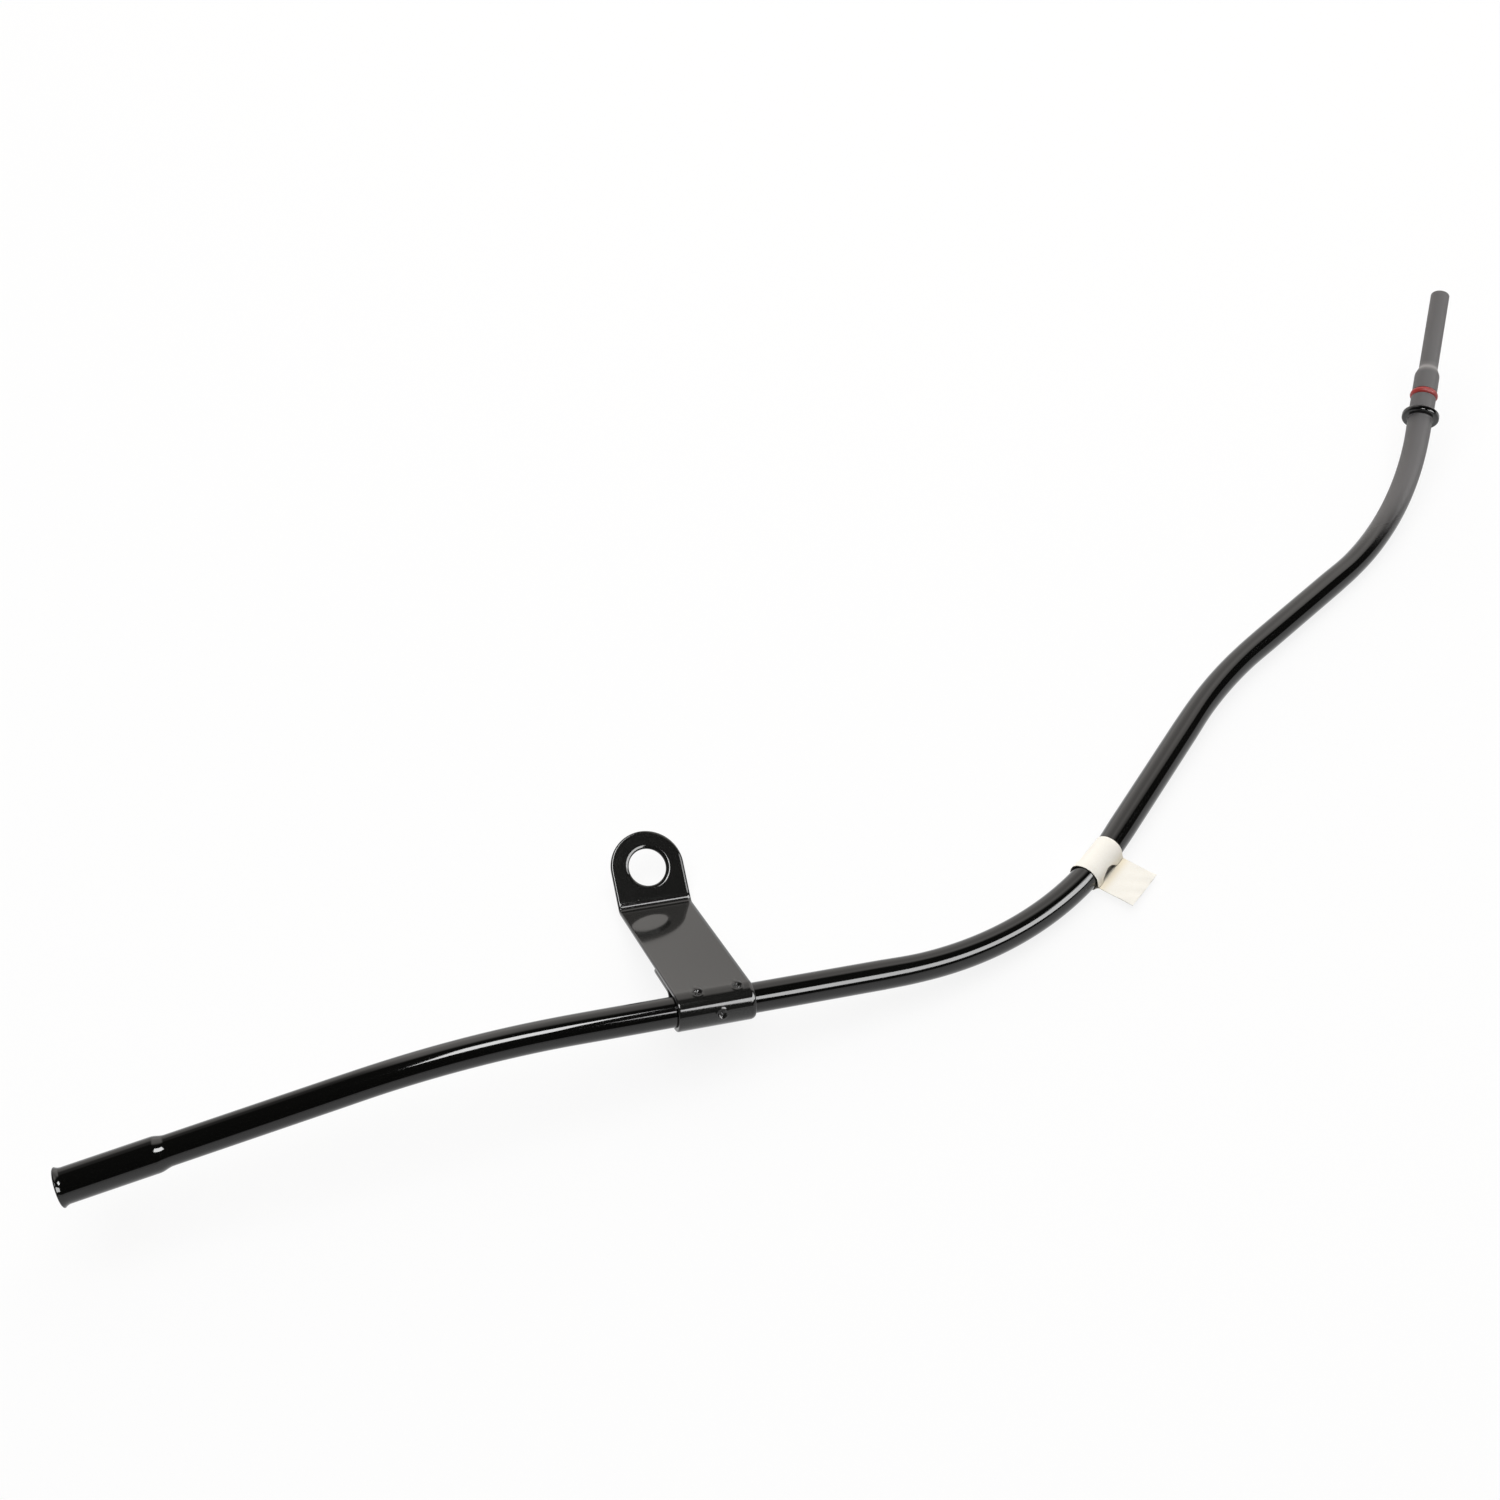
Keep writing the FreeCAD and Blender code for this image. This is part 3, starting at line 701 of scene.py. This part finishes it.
# %% Helpers for materials
def linear(hex_colour):
    """sRGB hex to linear RGBA: c / 12.92 below 0.04045, else ((c + 0.055) / 1.055) ^ 2.4."""
    srgb = np.array([int(hex_colour[i:i + 2], 16) for i in (1, 3, 5)]) / 255
    rgb = np.where(srgb <= 0.04045, srgb / 12.92, ((srgb + 0.055) / 1.055) ** 2.4)
    return (*rgb.tolist(), 1.0)


def add_node(tree, kind, inputs=(), **settings):
    """Add a node, set its properties, and set or link each named input."""
    node = tree.nodes.new(kind)
    for name, value in settings.items():
        setattr(node, name, value)
    for name, value in dict(inputs).items():
        if isinstance(value, bpy.types.NodeSocket):
            tree.links.new(value, node.inputs[name])
        else:
            node.inputs[name].default_value = value
    return node


def new_material(name):
    """Material with an empty tree and its output node."""
    material = bpy.data.materials.new(name)
    material.use_nodes = True
    material.node_tree.nodes.clear()
    return material, material.node_tree, add_node(material.node_tree, "ShaderNodeOutputMaterial")


print("black enamel is", np.round(linear("#060605")[:3], 4).tolist(), "linear")

# %% [markdown]
# ### Black enamel on steel
# The tube and bracket are dipped in black stoving enamel: a smooth, hard gloss over steel. The eye
# sees the surroundings in it more than its own colour. A faint orange peel, about 4 mm across,
# breaks up the reflections, soft smudges dull the gloss, and a few specks of dust lie on it. Towards
# the block end the coat turns to a satin that mirrors nothing sharply, and its colour is greyed there:
# partly a thinner coat, partly a painted sheen for the lit backdrop it mirrors. A pale ring round the
# neck is a painted highlight. The coat on the sheet is a touch greyer than on the tube.

# %% Black enamel
PEEL_MM = 4.0
SMUDGE_MM = 34.0
DUST_SPACING_MM = 16.0
DUST_MM = 0.30


def black_enamel(name, coat, gloss, dull):
    """Enamel of a coat colour, whose roughness goes from gloss to dull in the smudges."""
    material, tree, output = new_material(name)
    place = add_node(tree, "ShaderNodeTexCoord").outputs["Object"]
    peel = add_node(tree, "ShaderNodeTexNoise", {"Vector": place, "Scale": 1000 / PEEL_MM, "Detail": 1.0})
    smudge = add_node(tree, "ShaderNodeTexNoise", {"Vector": place, "Scale": 1000 / SMUDGE_MM, "Detail": 3.0})
    dust_cells = add_node(tree, "ShaderNodeTexVoronoi", {"Vector": place, "Scale": 1000 / DUST_SPACING_MM})
    near = DUST_MM / DUST_SPACING_MM
    dust = add_node(tree, "ShaderNodeMapRange", {
        "Value": dust_cells.outputs["Distance"], "From Min": near * 0.5, "From Max": near,
        "To Min": 1.0, "To Max": 0.0})
    colour = add_node(tree, "ShaderNodeMix", {
        "Factor": dust.outputs["Result"], "A": linear(coat), "B": linear("#8d8a84")}, data_type="RGBA")
    rough = add_node(tree, "ShaderNodeMapRange", {
        "Value": smudge.outputs["Fac"], "From Min": 0.35, "From Max": 0.7, "To Min": gloss, "To Max": dull})
    # Painted sheen: where the satin share is high, the coat colour is greyed to #5b5959.
    satin_and_sheen_share = add_node(tree, "ShaderNodeAttribute", attribute_name="satin_and_sheen").outputs["Fac"]
    coat_with_painted_light = add_node(tree, "ShaderNodeMix", {
        "Factor": satin_and_sheen_share, "A": colour.outputs["Result"], "B": linear("#5b5959")}, data_type="RGBA")
    # Painted highlight: the pale ring round the neck, in #8c8988.
    neck_highlight_share = add_node(tree, "ShaderNodeAttribute", attribute_name="neck_highlight").outputs["Fac"]
    coat_with_painted_light = add_node(tree, "ShaderNodeMix", {
        "Factor": neck_highlight_share, "A": coat_with_painted_light.outputs["Result"], "B": linear("#8c8988")}, data_type="RGBA")
    duller = add_node(tree, "ShaderNodeMix", {"Factor": satin_and_sheen_share, "A": rough.outputs["Result"], "B": 0.55})
    bump = add_node(tree, "ShaderNodeBump", {
        "Height": peel.outputs["Fac"], "Strength": 0.2, "Distance": 0.004 * MM})
    paint = add_node(tree, "ShaderNodeBsdfPrincipled", {
        "Base Color": coat_with_painted_light.outputs["Result"], "Roughness": duller.outputs["Result"],
        "Normal": bump.outputs["Normal"], "IOR": 1.5})
    tree.links.new(paint.outputs["BSDF"], output.inputs["Surface"])
    return material


tube_skin.data.materials.append(black_enamel("black_enamel_on_tube", "#060605", 0.05, 0.09))
bracket_skin.data.materials.append(black_enamel("black_enamel_on_sheet", "#1b1b1a", 0.06, 0.09))
print("enamel on", tube_skin.name, "and", bracket_skin.name)

# %% [markdown]
# ### Red silicone rubber
# O-rings for oil are often red silicone, moulded with a satin skin. A bloom of paler dust gathers
# in patches.

# %% Red rubber
BLOOM_MM = 3.0
material, tree, output = new_material("red_silicone_rubber")
place = add_node(tree, "ShaderNodeTexCoord").outputs["Object"]
bloom = add_node(tree, "ShaderNodeTexNoise", {"Vector": place, "Scale": 1000 / BLOOM_MM, "Detail": 4.0})
colour = add_node(tree, "ShaderNodeMix", {
    "Factor": bloom.outputs["Fac"], "A": linear("#8f1d1c"), "B": linear("#b0362f")}, data_type="RGBA")
skin = add_node(tree, "ShaderNodeBump", {
    "Height": bloom.outputs["Fac"], "Strength": 0.2, "Distance": 0.02 * MM})
rubber = add_node(tree, "ShaderNodeBsdfPrincipled", {
    "Base Color": colour.outputs["Result"], "Roughness": 0.42, "IOR": 1.42, "Normal": skin.outputs["Normal"]})
tree.links.new(rubber.outputs["BSDF"], output.inputs["Surface"])
seal_ring.data.materials.append(material)
print("rubber on", seal_ring.name)

# %% [markdown]
# ### White paper
# Uncoated label paper: matt, slightly warm, with fibres a few tenths of a millimetre wide that only
# just show as a grain. A cream tint at the flag's root is painted shade, where the flag leaves the roll. It
# is left blank.

# %% Paper
FIBRE_MM = 0.5
material, tree, output = new_material("uncoated_white_paper")
place = add_node(tree, "ShaderNodeTexCoord").outputs["Object"]
fibre = add_node(tree, "ShaderNodeTexNoise", {"Vector": place, "Scale": 1000 / FIBRE_MM, "Detail": 3.0})
colour = add_node(tree, "ShaderNodeMix", {
    "Factor": fibre.outputs["Fac"], "A": linear("#f1ece0"), "B": linear("#fbf9f3")}, data_type="RGBA")
# Painted shade: a cream tint at the flag's root.
root_shade = add_node(tree, "ShaderNodeAttribute", attribute_name="root_shade").outputs["Fac"]
shaded_at_root = add_node(tree, "ShaderNodeMix", {
    "Factor": root_shade, "A": colour.outputs["Result"], "B": linear("#eee5d0")}, data_type="RGBA")
grain = add_node(tree, "ShaderNodeBump", {
    "Height": fibre.outputs["Fac"], "Strength": 0.3, "Distance": 0.03 * MM})
paper = add_node(tree, "ShaderNodeBsdfPrincipled", {
    "Base Color": shaded_at_root.outputs["Result"], "Roughness": 0.85, "IOR": 1.45,
    "Normal": grain.outputs["Normal"]})
tree.links.new(paper.outputs["BSDF"], output.inputs["Surface"])
paper_wrap.data.materials.append(material)
print("paper on", paper_wrap.name)

# %% [markdown]
# ## Studio
# The part lies on white paper under soft light. Black gloss is drawn by what it mirrors, so the
# studio is set out as a photographer would: a white floor, a lit backdrop behind, a box overhead and
# one at the right for the long highlight, and a dark room everywhere else. An even fill brings matt
# surfaces to their own colour. The floor is white to the camera and in reflections near the part, and
# still takes the shadow.

# %% Floor and room
FLOOR_HALF = 6.0
CAMERA_WHITE = 0.86
floor_mesh = bpy.data.meshes.new("studio_floor")
edge = FLOOR_HALF * np.array([[-1, -1, 0], [1, -1, 0], [1, 1, 0], [-1, 1, 0]])
floor_mesh.from_pydata(edge.tolist(), [], [[0, 1, 2, 3]])
floor = bpy.data.objects.new("studio_floor", floor_mesh)
bpy.context.scene.collection.objects.link(floor)
material, tree, output = new_material("white_paper_floor")
light_path = add_node(tree, "ShaderNodeLightPath")
place = add_node(tree, "ShaderNodeTexCoord").outputs["Object"]
away = add_node(tree, "ShaderNodeVectorMath", {0: place}, operation="LENGTH")
near = add_node(tree, "ShaderNodeMapRange", {
    "Value": away.outputs["Value"], "From Min": 0.35, "From Max": 1.1, "To Min": 1.0, "To Max": 0.0})
seen = add_node(tree, "ShaderNodeMath", {0: light_path.outputs["Is Glossy Ray"],
                                         1: light_path.outputs["Is Transmission Ray"]}, operation="MAXIMUM")
seen = add_node(tree, "ShaderNodeMath", {0: seen.outputs["Value"], 1: near.outputs["Result"]},
                operation="MULTIPLY")
share = add_node(tree, "ShaderNodeMath", {0: light_path.outputs["Is Camera Ray"], 1: CAMERA_WHITE,
                                          2: seen.outputs["Value"]}, operation="MULTIPLY_ADD", use_clamp=True)
matt = add_node(tree, "ShaderNodeBsdfDiffuse", {"Color": linear("#f6f6f6")})
white = add_node(tree, "ShaderNodeEmission", {"Color": (1, 1, 1, 1), "Strength": 1.0})
mixed = add_node(tree, "ShaderNodeMixShader", {0: share.outputs["Value"], 1: matt.outputs["BSDF"],
                                               2: white.outputs["Emission"]})
tree.links.new(mixed.outputs["Shader"], output.inputs["Surface"])
floor_mesh.materials.append(material)

world = bpy.data.worlds.new("studio_room")
bpy.context.scene.world = world
world.use_nodes = True
tree = world.node_tree
tree.nodes.clear()
way = add_node(tree, "ShaderNodeTexCoord").outputs["Generated"]
height = add_node(tree, "ShaderNodeSeparateXYZ", {"Vector": way}).outputs["Z"]
dark = add_node(tree, "ShaderNodeMapRange", {"Value": height, "From Min": 0.06, "From Max": 0.14})
shade = add_node(tree, "ShaderNodeMix", {"Factor": dark.outputs["Result"], "A": (1, 1, 1, 1),
                                         "B": (0.04, 0.04, 0.04, 1)}, data_type="RGBA")
room = add_node(tree, "ShaderNodeBackground", {"Color": shade.outputs["Result"], "Strength": 1.0})
output = add_node(tree, "ShaderNodeOutputWorld")
tree.links.new(room.outputs["Background"], output.inputs["Surface"])
print("floor", 2 * FLOOR_HALF, "m wide")

# %% Lit backdrop
BACKDROP_AT = 1.0
BACKDROP_SPAN = (-1.6, 2.0)
BACKDROP_TOP = 2.6
corners_x = np.array([BACKDROP_SPAN[0], BACKDROP_SPAN[1], BACKDROP_SPAN[1], BACKDROP_SPAN[0]])
backdrop_points = np.stack([corners_x, np.full(4, BACKDROP_AT), [0, 0, BACKDROP_TOP, BACKDROP_TOP]], axis=1)
backdrop_mesh = bpy.data.meshes.new("lit_backdrop")
backdrop_mesh.from_pydata(backdrop_points.tolist(), [], [[0, 1, 2, 3]])
backdrop = bpy.data.objects.new("lit_backdrop", backdrop_mesh)
backdrop.visible_camera = False
bpy.context.scene.collection.objects.link(backdrop)
material, tree, output = new_material("lit_white_backdrop")
place = add_node(tree, "ShaderNodeTexCoord").outputs["Object"]
axes = add_node(tree, "ShaderNodeSeparateXYZ", {"Vector": place})


def blend(tree, value, low, high, first, last):
    """Smooth change of a value's effect from first at low to last at high."""
    return add_node(tree, "ShaderNodeMapRange", {
        "Value": value, "From Min": low, "From Max": high, "To Min": first, "To Max": last},
        interpolation_type="SMOOTHSTEP").outputs["Result"]


def times(tree, a, b):
    """Product of two values."""
    return add_node(tree, "ShaderNodeMath", {0: a, 1: b}, operation="MULTIPLY").outputs["Value"]


left_end = blend(tree, axes.outputs["X"], -0.74, -0.5, 0.75, 1.25)
left_part = blend(tree, axes.outputs["X"], -0.3, 0.05, 1.3, 1.0)
right_part = blend(tree, axes.outputs["X"], 0.2, 0.7, 1.0, 1.5)
top_end = blend(tree, axes.outputs["Z"], 1.25, BACKDROP_TOP, 1.0, 0.05)
corner_x = blend(tree, axes.outputs["X"], -0.8, -0.5, 1.0, 0.0)
corner_z = blend(tree, axes.outputs["Z"], 0.4, 1.0, 0.0, 0.75)
dim_corner = add_node(tree, "ShaderNodeMath", {0: 1.0, 1: times(tree, corner_x, corner_z)},
                      operation="SUBTRACT").outputs["Value"]
level = times(tree, times(tree, left_end, left_part), times(tree, right_part, top_end))
foot = blend(tree, axes.outputs["Z"], 0.03, 0.16, 0.7, 1.0)
level = times(tree, times(tree, level, dim_corner), foot)
glow = add_node(tree, "ShaderNodeEmission", {"Color": (1, 0.965, 0.93, 1), "Strength": level})
tree.links.new(glow.outputs["Emission"], output.inputs["Surface"])
backdrop_mesh.materials.append(material)
print("backdrop", BACKDROP_SPAN, "m wide,", BACKDROP_TOP, "m high")

# %% Lamps
def panel(name, centre, faces, size, radiance, matt=True, gloss=True, roll=0.0):
    """Rectangular lamp at a place in metres, facing a point. Area A and radiance L give pi A L watts.

    A lamp may serve only matt surfaces, as an even fill, or only the gloss. It may be rolled, in degrees.
    """
    centre = np.array(centre)
    way = centre - np.array(faces)
    way /= np.linalg.norm(way)
    across = np.cross([0.0, 0.0, 1.0], way)
    across /= np.linalg.norm(across)
    across = turned(across[None], way[None], np.radians([roll]))[0]
    turn = np.stack([across, np.cross(way, across), way], axis=1)
    lamp = bpy.data.lights.new(name, "AREA")
    lamp.shape = "RECTANGLE"
    lamp.size, lamp.size_y = size
    lamp.energy = np.pi * size[0] * size[1] * radiance
    holder = bpy.data.objects.new(name, lamp)
    holder.matrix_world = Matrix.Translation(centre.tolist()) @ Matrix(turn.tolist()).to_4x4()
    holder.visible_camera = False
    holder.visible_diffuse = matt
    holder.visible_glossy = gloss
    bpy.context.scene.collection.objects.link(holder)
    print(name, round(lamp.energy, 1), "W")


def toward(bearing, height, distance):
    """Place at a bearing clockwise from +Y and a height, in degrees, and a distance in metres."""
    b, h = np.radians([bearing, height])
    return distance * np.array([np.sin(b) * np.cos(h), np.cos(b) * np.cos(h), np.sin(h)])


panel("box_right", toward(114.7, 32, 1.6), (0, 0, 0), (1.37, 0.67), 11.0, matt=False, roll=-19)
panel("box_right_corner", toward(86.6, 36.5, 1.73), (0, 0, 0), (0.36, 0.22), 6.0, matt=False, roll=-15)
panel("box_overhead", (0.21, -0.325, 1.26), (0.21, -0.326, 0.0), (0.45, 0.47), 17.0, matt=False)
panel("even_fill", (-0.2, -0.2, 1.8), (-0.2, -0.201, 0.0), (2.0, 2.0), 2.5, gloss=False)

# %% [markdown]
# ## Camera
# The view was worked out from the picture: the tube's known diameter gives its distance all along,
# and the whole bent line then fixes where the camera stands. It looks down at about 45 degrees.

# %% Camera
CAMERA_AT = np.array([-12.48, -546.58, 554.99]) * MM
CAMERA_AXES = np.array([
    [0.99874, 0.03411, 0.03677],
    [0.00133, 0.71484, -0.69928],
    [-0.05014, 0.69845, 0.71389],
])
lens = bpy.data.cameras.new("camera")
lens.sensor_width = 36.0
lens.lens = 36.0 * 2200 / 1500
lens.clip_start = 0.01
camera = bpy.data.objects.new("camera", lens)
camera.matrix_world = Matrix.Translation(CAMERA_AT.tolist()) @ Matrix(CAMERA_AXES.tolist()).to_4x4()
bpy.context.scene.collection.objects.link(camera)
bpy.context.scene.camera = camera
bpy.context.scene.view_settings.view_transform = "Standard"
print("lens", round(lens.lens, 1), "mm")
